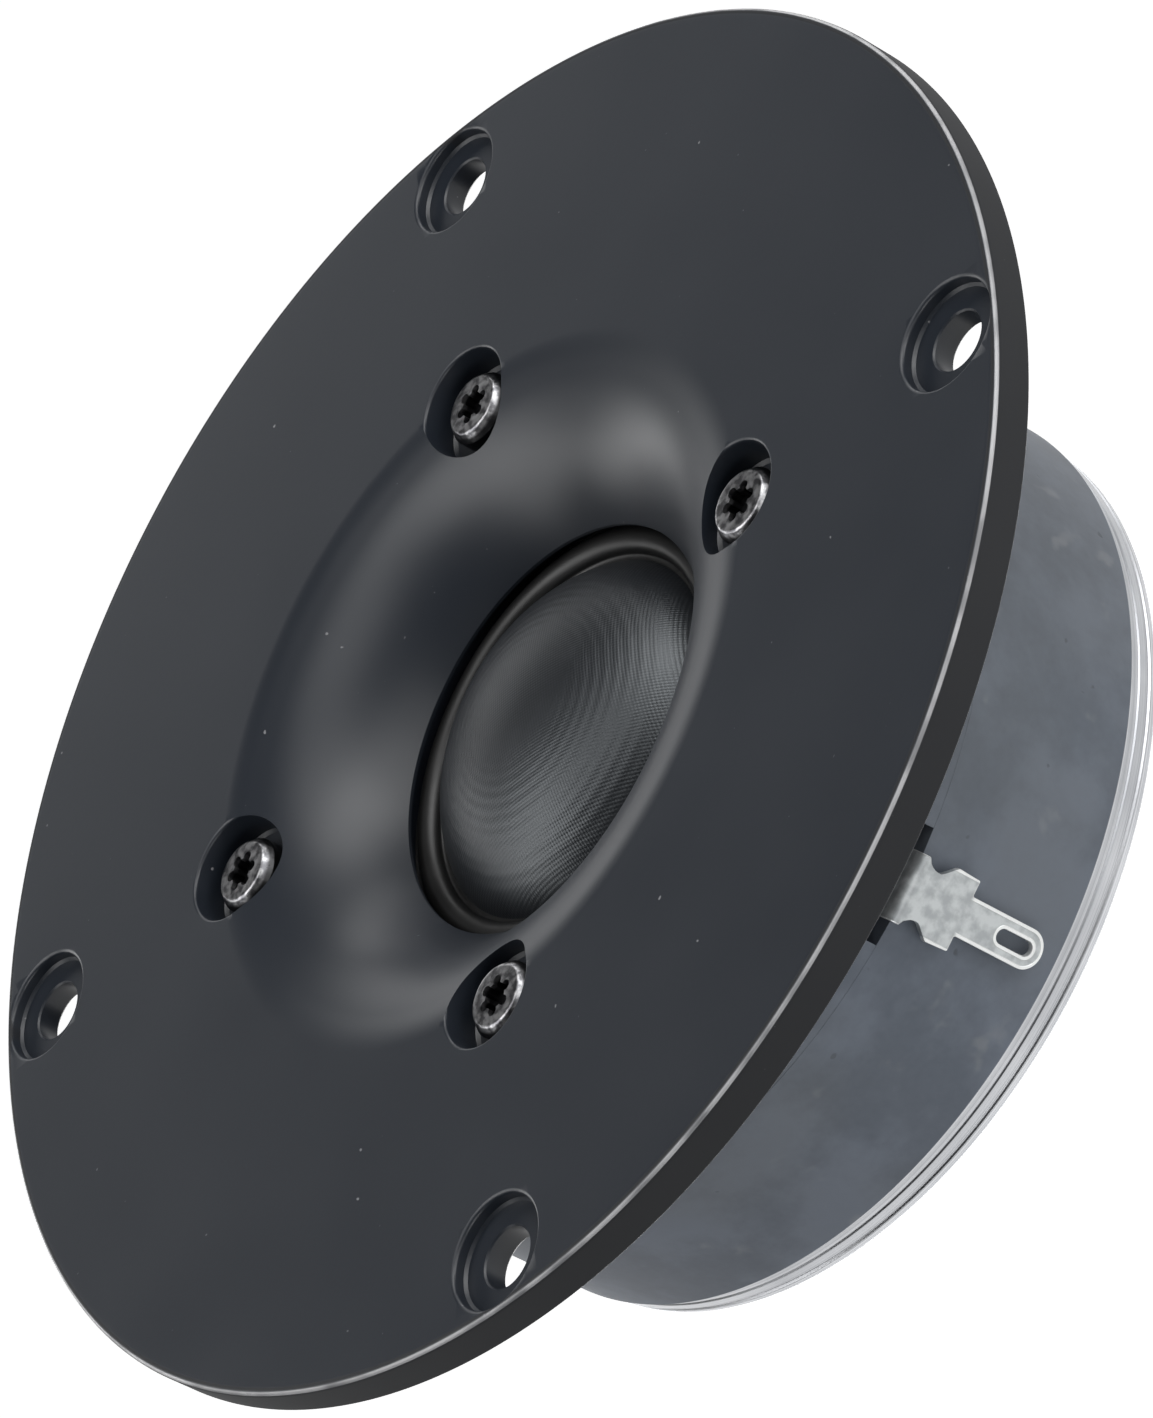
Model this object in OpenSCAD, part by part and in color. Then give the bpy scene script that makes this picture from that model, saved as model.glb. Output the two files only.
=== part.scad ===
// Soft-dome tweeter with a round waveguide faceplate and a ferrite ring motor.
// The dome axis is +Z, the rear face of the motor lies on z = 0, and the tabs point to -Y and +Y.

/* [Faceplate] */
// Outer radius of the faceplate
plate_r = 52; // [50:0.5:54]
// Thickness of the rim
rim_t = 3; // [2.6:0.1:4]
// Radius of the ring of mounting holes
mount_pcr = 47.35; // [46.5:0.05:47.6]
// Radius of a mounting hole
mount_hole_r = 2.2; // [1.8:0.1:2.5]
// Radius of the counterbore around a mounting hole
mount_bore_r = 4.1; // [3.6:0.1:4.2]
// Depth of that counterbore
mount_bore_depth = 1.1; // [0.8:0.1:1.6]
// Radius of the boss behind the rim
boss_r = 33.4; // [32.5:0.1:34]

/* [Waveguide] */
// Radius where the waveguide starts to fall away from the face
mouth_r = 27.2; // [26:0.2:28]
// Radius of the throat
throat_r = 15.5; // [15.4:0.1:15.8]
// Depth of the throat edge below the face
throat_depth = 7.4; // [7:0.1:7.6]

/* [Faceplate screws] */
// Radius of the ring of screws
screw_pcr = 26.2; // [25.8:0.1:27]
// Radius of a screw head
head_r = 2.85; // [2.7:0.05:3]
// Radius of the pocket that a head sits in
pocket_r = 4.1; // [3.6:0.1:4.2]
// Depth of a head's top below the face
head_drop = 0.9; // [0.6:0.1:1.2]

/* [Diaphragm] */
// Radius of the dome at its foot
dome_r = 13.6; // [13.5:0.1:13.7]
// Height of the dome
dome_h = 5.9; // [5:0.1:6.5]
// Rise of the surround's roll above the line between its feet
roll_h = 1.4; // [1:0.1:1.5]

/* [Motor] */
// Radius of the magnet and of the top plate
magnet_r = 34.4; // [34:0.1:35]
// Height of the magnet
magnet_h = 13.8; // [12.5:0.1:14]
// Radius of the back plate
back_r = 34; // [33:0.1:34.4]
// Thickness of the back plate
back_t = 3; // [2.5:0.1:3]
// Thickness of the top plate
top_t = 5; // [4.5:0.1:5]

/* [Terminals] */
// Width of a connecting tab
tab_w = 2.9; // [2.8:0.1:3.2]
// Thickness of the sheet that the terminals are cut from
sheet_t = 0.5; // [0.4:0.05:0.6]
// Width of the slot in the top plate that a terminal comes out of
slot_w = 8.7; // [8:0.1:9.5]

/* [Hidden] */
$fn = 96;

// A little extra, so that cutters pass through the faces that they open
over = 1;

// Heights of the stack, counted up from the rear face
magnet_top = back_t + magnet_h;
plate_top = magnet_top + top_t;
carrier_t = 1.6;
carrier_top = plate_top + carrier_t;
face_z = 33;
rim_back = face_z - rim_t;

// Faceplate details
front_chamfer = 0.45;
rear_chamfer = 0.2;
hole_chamfer = 0.25;
bore_floor = face_z - mount_bore_depth;
curve_steps = 14;
wave_slope = 0.0994;
wave_bend = 0.0218;
wave_depth = mouth_r - throat_r;
wave_rise = (throat_depth - wave_slope * wave_depth - wave_bend * pow(wave_depth, 2)) / pow(wave_depth, 3);
throat_z = face_z - throat_depth;
lip_t = 0.25;
lip_w = 0.5;
cavity_r = 17.2;
cavity_chamfer = 0.4;
cavity_top = throat_z + 0.3;

// Screws: M3 with a six-lobe drive
head_h = 2.1;
head_top = face_z - head_drop;
head_seat = head_top - head_h;
head_dome = 0.5;
head_edge = 0.15;
tip_chamfer = 0.4;
thread_r = 1.5;
screw_tip = plate_top - 3.9;
clear_r = 1.7;
drive_depth = 1.3;
drive_r = 1.35;
lobe_r = 0.42;

// Locating pins
pin_r = 1;
pin_pcr = 24;
pin_bottom = plate_top - 2;
pin_top = carrier_top + 1.6;

// Diaphragm: the silk is drawn thicker than it is, so that it has two true faces
silk_t = 0.2;
dome_foot_t = 0.25;
dome_foot_w = 0.5;
foot_z = plate_top + 1.9;
dome_z = foot_z - dome_foot_t;
dome_full = 1.06;
dome_steps = 16;
roll_in = 14;
roll_out = 16.7;
roll_mid = (roll_in + roll_out) / 2;
flange_r = 19.4;
flange_z = carrier_top - 0.7;
flange_t = silk_t;
gasket_t = carrier_top - flange_z - flange_t;
roll_steps = 12;

// Voice coil and gap
former_r = 13.3;
former_t = 0.12;
former_bottom = plate_top - 6.3;
winding_t = 0.35;
winding_h = 3.3;
winding_mid = plate_top - top_t / 2;
gap_r = former_r + winding_t + 0.4;
cap_r = former_r - former_t - 0.4;
cap_t = 0.3;
cap_h = 6;
pole_r = cap_r - cap_t;
spigot_r = 6;
spigot_recess = 0.4;
lead_size = 0.3;

// Motor cavity
bore_r = 17;
ring_r = 16.6;
ring_h = 3.5;
cavity_felt_h = 4;
pole_felt_r = 9.5;
pole_felt_h = 1.2;
edge_round = 0.8;

// Terminals
carrier_r = 33.4;
slot_floor_r = 29;
tongue_gap = 0.15;
tongue_r = 33;
tab_gap = 0.6;
tab_back = magnet_r + tab_gap;
leg_z = magnet_top + 0.4;
bend_r = sheet_t + 0.3;
riser_r = 30.2;
riser_w = 3;
riser_top = carrier_top + 0.5;
riser_room = 0.9;
root_w = 5;
flare_w = 0.45;
flare_h = 0.5;
waist_w = 3.6;
shoulder_w = 5.4;
waist_z = magnet_top - 0.9;
ramp_z = waist_z - 0.5;
shoulder_z = ramp_z - 1;
arm_z = shoulder_z - 2;
tip_z = back_t + 2.2;
eye_w = 1.1;
eye_top = tip_z + 4.1;
eye_low = tip_z + tab_w / 2;

// Wires
wire_r = 0.22;
wire_z = carrier_top - 1.15;
wire_end = riser_r - 0.85;
solder_r = 0.9;
groove_w = 0.9;
groove_floor = wire_z - 0.3;
pocket_w = 4;
pocket_in = riser_r - 1.8;
pocket_out = riser_r + 1.4;
carrier_in = 17.3;
loop_in = 13.75;
loop_rise = 0.15;
loop_lift = 0.35;
loop_tilt = atan2(loop_lift, carrier_in - loop_in);
loop_half = norm([carrier_in - loop_in, loop_lift]) / 2;
loop_r = (pow(loop_half, 2) + pow(loop_rise, 2)) / (2 * loop_rise);

// Height of the waveguide's surface at radius r
function wave_z(r) = let(s = mouth_r - r)
    face_z - wave_slope * s - wave_bend * pow(s, 2) - wave_rise * pow(s, 3);

// Height of the outside of the dome at radius r, a flattened ellipse cut off at its foot
function dome_curve(r) = sqrt(1 - pow(r / (dome_full * dome_r), 2));
function dome_surface(r) = let(c = dome_curve(dome_r))
    foot_z + dome_h * (dome_curve(r) - c) / (1 - c);

// Height of the surround's half roll above the line between its two feet
function roll_surface(r) = let(
    u = (r - roll_mid) / (roll_out - roll_mid),
    line = (r - roll_in) / (roll_out - roll_in)
) foot_z + (flange_z + flange_t - foot_z) * line + roll_h * sqrt(max(0, 1 - pow(u, 2)));

// A ring about Z between two radii and two heights
module ring(r_out, r_in, z_low, z_high) {
    translate([0, 0, z_low]) difference() {
        cylinder(r = r_out, h = z_high - z_low);
        translate([0, 0, -over]) cylinder(r = r_in, h = z_high - z_low + 2 * over);
    }
}

// Its children at each of the four diagonal places of a ring of holes
module at_four(r) {
    for (a = [45 : 90 : 315]) rotate(a) translate([r, 0, 0]) children();
}

// Its children on the -Y side and again on the +Y side
module both_sides() {
    for (a = [0, 180]) rotate(a) children();
}

// One solid of revolution: rim, waveguide, throat lip, surround cavity and boss
module plate_body() {
    curve = [for (i = [0 : curve_steps]) let(r = throat_r + wave_depth * i / curve_steps) [r, wave_z(r)]];
    rotate_extrude($fn = 180) polygon(concat(curve, [
        [plate_r - front_chamfer, face_z],
        [plate_r, face_z - front_chamfer],
        [plate_r, rim_back + rear_chamfer],
        [plate_r - rear_chamfer, rim_back],
        [boss_r, rim_back],
        [boss_r, carrier_top],
        [cavity_r, carrier_top],
        [cavity_r, cavity_top - cavity_chamfer],
        [cavity_r - cavity_chamfer, cavity_top],
        [throat_r + lip_w, cavity_top],
        [throat_r, throat_z - lip_t]
    ]));
}

module mounting_hole() {
    translate([0, 0, rim_back - over]) cylinder(r = mount_hole_r, h = rim_t + 2 * over, $fn = 48);
    translate([0, 0, bore_floor]) cylinder(r = mount_bore_r, h = mount_bore_depth + over, $fn = 64);
    translate([0, 0, face_z - hole_chamfer])
        cylinder(r1 = mount_bore_r, r2 = mount_bore_r + 2 * hole_chamfer, h = 2 * hole_chamfer, $fn = 64);
}

module faceplate() {
    color([0.2, 0.2, 0.22]) difference() {
        plate_body();
        at_four(mount_pcr) mounting_hole();
        at_four(screw_pcr) {
            translate([0, 0, head_seat]) cylinder(r = pocket_r, h = face_z, $fn = 64);
            translate([0, 0, carrier_top - over]) cylinder(r = clear_r, h = face_z, $fn = 32);
        }
        for (a = [0, 180]) rotate(a) translate([pin_pcr, 0, carrier_top - over])
            cylinder(r = pin_r, h = pin_top - carrier_top + over, $fn = 32);
        both_sides() translate([-pocket_w / 2, -pocket_out, carrier_top - over])
            cube([pocket_w, pocket_out - pocket_in, over + riser_room]);
    }
}

// Six-lobe drive recess
module drive() {
    translate([0, 0, head_top - drive_depth]) {
        cylinder(r = drive_r - lobe_r / 2, h = drive_depth + over, $fn = 32);
        for (a = [0 : 60 : 300]) rotate(a) translate([drive_r - lobe_r / 4, 0, 0])
            cylinder(r = lobe_r, h = drive_depth + over, $fn = 24);
    }
}

module screw() {
    difference() {
        rotate_extrude($fn = 48) polygon([
            [0, screw_tip],
            [thread_r - tip_chamfer, screw_tip],
            [thread_r, screw_tip + tip_chamfer],
            [thread_r, head_seat],
            [head_r, head_seat],
            [head_r, head_top - head_dome],
            [head_r - head_edge, head_top - head_dome / 2],
            [head_r - head_dome, head_top],
            [0, head_top]
        ]);
        drive();
    }
}

module faceplate_screws() {
    color([0.35, 0.35, 0.37]) at_four(screw_pcr) screw();
}

module locating_pins() {
    color([0.7, 0.7, 0.72]) for (a = [0, 180]) rotate(a) translate([pin_pcr, 0, pin_bottom])
        cylinder(r = pin_r, h = pin_top - pin_bottom, $fn = 32);
}

module clamp_gasket() {
    color([0.12, 0.12, 0.12]) ring(flange_r, cavity_r, flange_z + flange_t, flange_z + flange_t + gasket_t);
}

// Carrier block that fills the inner part of the slot and grips the terminal
module tongue() {
    w = slot_w - 2 * tongue_gap;
    translate([-w / 2, -tongue_r, magnet_top + tongue_gap])
        cube([w, tongue_r - slot_floor_r - tongue_gap, plate_top - magnet_top - tongue_gap]);
}

module terminal_carrier() {
    color([0.08, 0.08, 0.09]) difference() {
        union() {
            ring(carrier_r, carrier_in, plate_top, carrier_top);
            both_sides() tongue();
        }
        translate([0, 0, flange_z]) cylinder(r = flange_r, h = carrier_t);
        at_four(screw_pcr) translate([0, 0, plate_top - over])
            cylinder(r = clear_r, h = carrier_t + 2 * over, $fn = 32);
        for (a = [0, 180]) rotate(a) translate([pin_pcr, 0, plate_top - over])
            cylinder(r = pin_r, h = carrier_t + 2 * over, $fn = 32);
        both_sides() {
            translate([-groove_w / 2, -pocket_in - over, groove_floor])
                cube([groove_w, pocket_in + over - carrier_in + over, carrier_t]);
            translate([-pocket_w / 2, -pocket_out, groove_floor])
                cube([pocket_w, pocket_out - pocket_in, carrier_t]);
            terminal_strip();
        }
    }
}

// Flat outline of the tab that hangs down beside the magnet, drawn in X and Z
module tab_outline() {
    bend_z = leg_z + sheet_t - bend_r;
    difference() {
        union() {
            polygon([
                [-root_w / 2, bend_z], [root_w / 2, bend_z], [root_w / 2 - flare_w, bend_z - flare_h],
                [waist_w / 2, waist_z], [waist_w / 2, ramp_z],
                [shoulder_w / 2, shoulder_z], [shoulder_w / 2, arm_z],
                [-shoulder_w / 2, arm_z], [-shoulder_w / 2, shoulder_z], [-waist_w / 2, ramp_z],
                [-waist_w / 2, waist_z], [flare_w - root_w / 2, bend_z - flare_h]
            ]);
            translate([-tab_w / 2, eye_low]) square([tab_w, (arm_z + shoulder_z) / 2 - eye_low]);
            translate([0, eye_low]) circle(r = tab_w / 2, $fn = 48);
        }
        for (z = [eye_low, eye_top - eye_w / 2]) translate([0, z]) circle(r = eye_w / 2, $fn = 32);
        translate([-eye_w / 2, eye_low]) square([eye_w, eye_top - eye_w / 2 - eye_low]);
    }
}

// The level leg and the riser, which pass through the carrier
module terminal_strip() {
    bend_y = tab_back + sheet_t - bend_r;
    translate([-root_w / 2, -bend_y, leg_z]) cube([root_w, bend_y - riser_r, sheet_t]);
    translate([-riser_w / 2, -riser_r - sheet_t, leg_z]) cube([riser_w, sheet_t, riser_top - leg_z]);
}

module terminal() {
    bend_y = tab_back + sheet_t - bend_r;
    bend_z = leg_z + sheet_t - bend_r;
    terminal_strip();
    translate([0, -tab_back, 0]) rotate([90, 0, 0]) linear_extrude(sheet_t) tab_outline();
    translate([-root_w / 2, -bend_y, bend_z]) rotate([90, 0, 90]) linear_extrude(root_w) difference() {
        intersection() {
            circle(r = bend_r, $fn = 64);
            translate([-2 * bend_r, 0]) square(2 * bend_r);
        }
        circle(r = bend_r - sheet_t, $fn = 64);
    }
}

module terminal_minus() {
    color([0.75, 0.75, 0.74]) terminal();
}

module terminal_plus() {
    color([0.75, 0.75, 0.74]) rotate(180) terminal();
}

// A fillet of solder where each lead wire meets a riser
module solder_joints() {
    color([0.8, 0.8, 0.82]) both_sides() intersection() {
        translate([0, -riser_r, wire_z]) sphere(r = solder_r, $fn = 32);
        translate([-over, -riser_r, groove_floor]) cube([2 * over, over, 2 * over]);
    }
}

module lead_wires() {
    color([0.72, 0.45, 0.2]) both_sides() translate([0, -wire_end, wire_z]) rotate([-90, 0, 0])
        cylinder(r = wire_r, h = wire_end - carrier_in, $fn = 24);
}

// The slack piece of each lead, which flexes with the dome: a low arch that climbs towards the coil
module lead_loops() {
    sweep_angle = 2 * asin(loop_half / loop_r);
    color([0.72, 0.45, 0.2]) both_sides() translate([0, -carrier_in, wire_z]) rotate([loop_tilt, 0, 0])
        translate([0, loop_half, loop_rise - loop_r]) rotate([90, 0, 90]) rotate(90 - sweep_angle / 2)
            rotate_extrude(angle = sweep_angle, $fn = 192) translate([loop_r, 0]) circle(r = wire_r, $fn = 24);
}

// Half roll with a flat foot on each side
module surround() {
    n = roll_steps;
    span = roll_out - roll_in;
    outer = [for (i = [0 : n]) let(r = roll_mid - cos(180 * i / n) * span / 2) [r, roll_surface(r)]];
    inner = [for (p = outer) [p[0], p[1] - silk_t]];
    back = [for (i = [n : -1 : 0]) inner[i]];
    color([0.1, 0.1, 0.11]) rotate_extrude($fn = 120) polygon(concat(
        [[dome_r, foot_z - silk_t], [dome_r, foot_z]],
        outer,
        [[flange_r, flange_z + flange_t], [flange_r, flange_z]],
        back
    ));
}

// Shell of the dome with the flat foot that the former is glued to
module dome() {
    n = dome_steps;
    foot_in = former_r - dome_foot_w;
    outside = [for (i = [0 : n]) let(r = dome_r * sin(90 * i / n)) [r, dome_surface(r)]];
    inside = [for (i = [n : -1 : 0]) let(r = foot_in * sin(90 * i / n)) [r, dome_surface(r) - silk_t]];
    color([0.16, 0.16, 0.17]) rotate_extrude($fn = 120) polygon(concat(
        outside,
        [[dome_r, dome_z], [foot_in, dome_z]],
        inside
    ));
}

module coil_former() {
    color([0.8, 0.62, 0.35]) ring(former_r, former_r - former_t, former_bottom, dome_z);
}

module coil_winding() {
    color([0.7, 0.4, 0.2])
        ring(former_r + winding_t, former_r, winding_mid - winding_h / 2, winding_mid + winding_h / 2);
}

// Flat ends of the winding, glued up the outside of the former
module coil_leads() {
    low = winding_mid + winding_h / 2;
    high = wire_z + loop_lift + wire_r;
    color([0.72, 0.45, 0.2]) both_sides() difference() {
        translate([-lead_size / 2, -former_r - lead_size, low]) cube([lead_size, 2 * lead_size, high - low]);
        translate([0, 0, low - over]) cylinder(r = former_r, h = top_t + over);
    }
}

module top_plate() {
    color([0.42, 0.44, 0.47]) difference() {
        ring(magnet_r, gap_r, magnet_top, plate_top);
        both_sides() translate([-slot_w / 2, -magnet_r - over, magnet_top - over])
            cube([slot_w, magnet_r + over - slot_floor_r, top_t + 2 * over]);
        at_four(screw_pcr) translate([0, 0, magnet_top - over])
            cylinder(r = thread_r, h = top_t + 2 * over, $fn = 32);
        for (a = [0, 180]) rotate(a) translate([pin_pcr, 0, pin_bottom])
            cylinder(r = pin_r, h = top_t, $fn = 32);
    }
}

module magnet() {
    color([0.4, 0.42, 0.45]) ring(magnet_r, bore_r, back_t, magnet_top);
}

module back_plate() {
    color([0.78, 0.78, 0.8]) difference() {
        rotate_extrude($fn = 180) union() {
            square([back_r - edge_round, back_t]);
            translate([0, edge_round]) square([back_r, back_t - edge_round]);
            translate([back_r - edge_round, edge_round]) circle(r = edge_round, $fn = 48);
        }
        translate([0, 0, -over]) cylinder(r = spigot_r, h = back_t + 2 * over, $fn = 64);
    }
}

// Pole with a reduced spigot that is pressed into the back plate
module pole_piece() {
    color([0.6, 0.6, 0.62]) {
        translate([0, 0, spigot_recess]) cylinder(r = spigot_r, h = back_t - spigot_recess, $fn = 64);
        translate([0, 0, back_t]) cylinder(r = pole_r, h = plate_top - back_t);
    }
}

// Thin cup over the end of the pole
module copper_cap() {
    color([0.75, 0.42, 0.25]) difference() {
        translate([0, 0, plate_top + cap_t - cap_h]) cylinder(r = cap_r, h = cap_h);
        translate([0, 0, plate_top - cap_h - over]) cylinder(r = pole_r, h = cap_h + over);
    }
}

module shorting_ring() {
    color([0.8, 0.8, 0.82]) ring(ring_r, pole_r, back_t, back_t + ring_h);
}

module pole_felt() {
    top = plate_top + cap_t;
    color([0.45, 0.44, 0.42]) translate([0, 0, top]) cylinder(r = pole_felt_r, h = pole_felt_h);
}

module cavity_felt() {
    low = back_t + ring_h;
    color([0.45, 0.44, 0.42]) ring(ring_r, pole_r, low, low + cavity_felt_h);
}

faceplate();
faceplate_screws();
locating_pins();
clamp_gasket();
terminal_carrier();
terminal_minus();
terminal_plus();
solder_joints();
lead_wires();
lead_loops();
surround();
dome();
coil_former();
coil_winding();
coil_leads();
top_plate();
magnet();
back_plate();
pole_piece();
copper_cap();
shorting_ring();
pole_felt();
cavity_felt();
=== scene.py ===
# %% [markdown]
# # A soft-dome tweeter, modelled and lit in Blender
#
# A tweeter is the small loudspeaker that plays the highest notes. A cloth dome, driven by a coil in a
# magnet's gap, sits at the bottom of a short horn that is part of the faceplate. The CAD model settles
# every size and every moving part, so this script loads it as a fixed frame. The pieces that show are
# then built again with finer edges, and every piece gets a finish.

# %% Load the CAD frame
from math import atan2, cos, pi, radians, sin, sqrt, tan

import bmesh
import bpy
from mathutils import Matrix, Quaternion, Vector


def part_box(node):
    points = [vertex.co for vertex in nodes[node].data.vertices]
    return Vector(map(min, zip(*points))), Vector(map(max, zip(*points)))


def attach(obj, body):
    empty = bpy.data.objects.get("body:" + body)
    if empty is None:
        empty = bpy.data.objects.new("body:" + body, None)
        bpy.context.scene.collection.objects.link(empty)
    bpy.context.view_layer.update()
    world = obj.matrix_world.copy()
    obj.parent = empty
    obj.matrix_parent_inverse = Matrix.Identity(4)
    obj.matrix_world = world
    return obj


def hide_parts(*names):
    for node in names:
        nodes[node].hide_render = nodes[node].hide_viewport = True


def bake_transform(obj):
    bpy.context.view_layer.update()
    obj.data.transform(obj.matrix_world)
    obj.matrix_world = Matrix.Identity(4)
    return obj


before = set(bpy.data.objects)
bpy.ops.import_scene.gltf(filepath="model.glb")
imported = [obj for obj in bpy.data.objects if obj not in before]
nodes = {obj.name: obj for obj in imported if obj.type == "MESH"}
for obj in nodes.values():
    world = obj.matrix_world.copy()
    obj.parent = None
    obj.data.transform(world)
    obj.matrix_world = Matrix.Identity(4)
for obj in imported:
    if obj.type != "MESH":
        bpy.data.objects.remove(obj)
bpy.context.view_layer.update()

MM = 0.001
MERGE = 0.0005
scene = bpy.context.scene

# %% [markdown]
# ## Sizes
#
# The frame already knows how big each part is. Measuring its boxes keeps the new pieces in step with the
# CAD model, and only the small things that a box can't tell, such as the width of a rounded edge, are
# written here as numbers. Everything is worked out in millimetres, which is how a maker thinks about a
# part like this, and turned to metres when a mesh is finished.

# %% Measure the frame in millimetres
def low_high(node):
    low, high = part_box(node)
    return low / MM, high / MM


rim_r = low_high("faceplate")[1].x
face_z = low_high("faceplate")[1].z
boss_z = low_high("faceplate")[0].z
magnet_r = low_high("magnet")[1].x
magnet_low, magnet_top = low_high("magnet")[0].z, low_high("magnet")[1].z
plate_top = low_high("top_plate")[1].z
back_r = low_high("back_plate")[1].x
carrier_r = low_high("terminal_carrier")[1].x
dome_r, dome_top = low_high("dome")[1].x, low_high("dome")[1].z
head_top = low_high("faceplate_screws")[1].z
print("rim", rim_r, "face", face_z, "magnet", magnet_r, "dome", dome_r, dome_top)

# %% [markdown]
# ## The camera
#
# The tweeter is seen from above its face with the camera rolled well over to one side, through a long
# lens that keeps the ellipses of the plate even. The camera is placed by the direction that it looks back
# along, the way a photographer would walk round a table, and then turned about its own axis.

# %% Place the camera
AZIMUTH, ELEVATION, ROLL = radians(-2.57), radians(32.39), radians(-62.42)
DISTANCE = 527.9
AIM = Vector((1.30, -13.32, face_z))

back = Vector((sin(AZIMUTH) * cos(ELEVATION), -cos(AZIMUTH) * cos(ELEVATION), sin(ELEVATION)))
turn = back.to_track_quat("Z", "Y") @ Quaternion((0, 0, 1), ROLL)
camera_data = bpy.data.cameras.new("camera")
camera_data.lens, camera_data.sensor_width = 198.1, 36
camera = bpy.data.objects.new("camera", camera_data)
camera.matrix_world = Matrix.Translation((AIM + back * DISTANCE) * MM) @ turn.to_matrix().to_4x4()
scene.collection.objects.link(camera)
scene.camera = camera
print("camera at", [round(c / MM, 1) for c in camera.matrix_world.translation])

# %% [markdown]
# ## Turning parts on a lathe
#
# Nearly every part of a tweeter is turned, pressed or spun about one axis, so one helper does the work of
# a lathe: it takes half of the part's outline and spins it round Z. A small helper rounds the corners of
# such an outline first, because on a real part no edge is perfectly sharp, and the thin bright line that
# a rounded edge catches is what makes it look solid.

# %% Outlines and the lathe
def rounded(corners, steps=5):
    """The outline through (r, z) corners, closed on itself. A third number rounds a corner by that radius."""
    outline = []
    for i, corner in enumerate(corners):
        here = Vector(corner[:2])
        if len(corner) == 2:
            outline.append(here)
            continue
        before = (Vector(corners[i - 1][:2]) - here).normalized()
        after = (Vector(corners[(i + 1) % len(corners)][:2]) - here).normalized()
        half = before.angle(after) / 2
        centre = here + (before + after).normalized() * corner[2] / sin(half)
        first = here + before * corner[2] / tan(half) - centre
        last = here + after * corner[2] / tan(half) - centre
        swing = atan2(first.x * last.y - first.y * last.x, first.dot(last))
        outline += [centre + Matrix.Rotation(swing * k / steps, 2) @ first for k in range(steps + 1)]
    return outline


def lathe(outline, steps=256, centre=(0, 0)):
    """A bmesh of the closed outline spun about the upright axis through centre."""
    bm = bmesh.new()
    verts = [bm.verts.new((r + centre[0], centre[1], z)) for r, z in outline]
    edges = [bm.edges.new(pair) for pair in zip(verts, verts[1:] + verts[:1])]
    bmesh.ops.spin(bm, geom=verts + edges, cent=(*centre, 0), axis=(0, 0, 1), angle=2 * pi, steps=steps,
                   use_merge=True)
    bmesh.ops.remove_doubles(bm, verts=bm.verts, dist=MERGE)
    bmesh.ops.recalc_face_normals(bm, faces=bm.faces)
    return bm


def join(bm, other):
    """Adds the second bmesh to the first and returns it."""
    mesh = bpy.data.meshes.new("joined")
    other.to_mesh(mesh)
    other.free()
    bm.from_mesh(mesh)
    bpy.data.meshes.remove(mesh)
    return bm


print("a square with one round corner:", len(rounded([(0, 0), (1, 0, 0.2), (1, 1), (0, 1)])), "points")

# %% [markdown]
# ## From a bmesh to a piece
#
# A finished piece is a mesh in metres, smooth except where two faces meet at a real edge. Holes are cut
# with a Boolean modifier, the way a drill cuts them after the part is turned. The modifier is applied at
# once, and a Weighted Normal modifier then lets the large flat faces decide the shading, so that the flat
# of the plate stays flat round each hole.

# %% Finish a piece
def finished(obj):
    """Applies the object's modifiers and returns it."""
    evaluated = obj.evaluated_get(bpy.context.evaluated_depsgraph_get())
    mesh = bpy.data.meshes.new_from_object(evaluated)
    obj.modifiers.clear()
    old, obj.data = obj.data, mesh
    mesh.name = obj.name
    bpy.data.meshes.remove(old)
    return obj


def solid(name, bm):
    """An object from a bmesh in millimetres."""
    bmesh.ops.scale(bm, vec=(MM, MM, MM), verts=bm.verts)
    mesh = bpy.data.meshes.new(name)
    bm.to_mesh(mesh)
    bm.free()
    obj = bpy.data.objects.new(name, mesh)
    scene.collection.objects.link(obj)
    return obj


def cut(obj, bm, overlapping=False):
    """Takes the shape of a bmesh out of an object; its parts may overlap each other if that is said."""
    cutter = solid("cutter", bm)
    boolean = obj.modifiers.new("cut", "BOOLEAN")
    boolean.operation = "DIFFERENCE"
    boolean.solver = "EXACT"
    boolean.object = cutter
    boolean.use_self = overlapping
    bpy.context.view_layer.update()
    finished(obj)
    bpy.data.objects.remove(cutter)
    return obj


def piece(name, shape, replaced, body="root", angle=32):
    """Makes a bmesh or an object into a piece that rides on a body and stands for a CAD node."""
    obj = shape if isinstance(shape, bpy.types.Object) else solid(name, shape)
    obj.name = obj.data.name = name
    for polygon in obj.data.polygons:
        polygon.use_smooth = True
    obj.data.set_sharp_from_angle(angle=radians(angle))
    weighted = obj.modifiers.new("weighted", "WEIGHTED_NORMAL")
    weighted.keep_sharp = True
    bpy.context.view_layer.update()
    finished(obj)
    if body:
        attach(obj, body)
    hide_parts(replaced)
    print(name, "has", len(obj.data.polygons), "faces")
    return obj


print("ready to make pieces, from", 1 / MM, "drawing units to the metre")

# %% [markdown]
# ## The faceplate
#
# The faceplate is a die casting. From the flat rim the face rolls over into a short horn, steeper and
# steeper down to a sharp throat, and behind it a boss carries the diaphragm and meets the motor. A curve
# that starts almost flat and ends steep is a cubic in the distance from the mouth. The whole outline is
# one closed loop for the lathe.

# %% Turn the faceplate
RIM_T, MOUTH_R, THROAT_R, THROAT_DEPTH, BOSS_R, CAVITY_R = 3.0, 27.2, 15.5, 7.4, 33.4, 17.2
RIM_EDGE, THROAT_LIP, FLAT_START, FLAT_MIDDLE = 0.45, 0.12, 33.5, 44
WAVE_SLOPE, WAVE_BEND, MOUTH_EASE, WAVE_POINTS = 0.0994, 0.0218, 3.0, 48
WAVE_REACH = MOUTH_R - THROAT_R
WAVE_RISE = (THROAT_DEPTH - WAVE_SLOPE * WAVE_REACH - WAVE_BEND * WAVE_REACH**2) / WAVE_REACH**3


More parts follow.
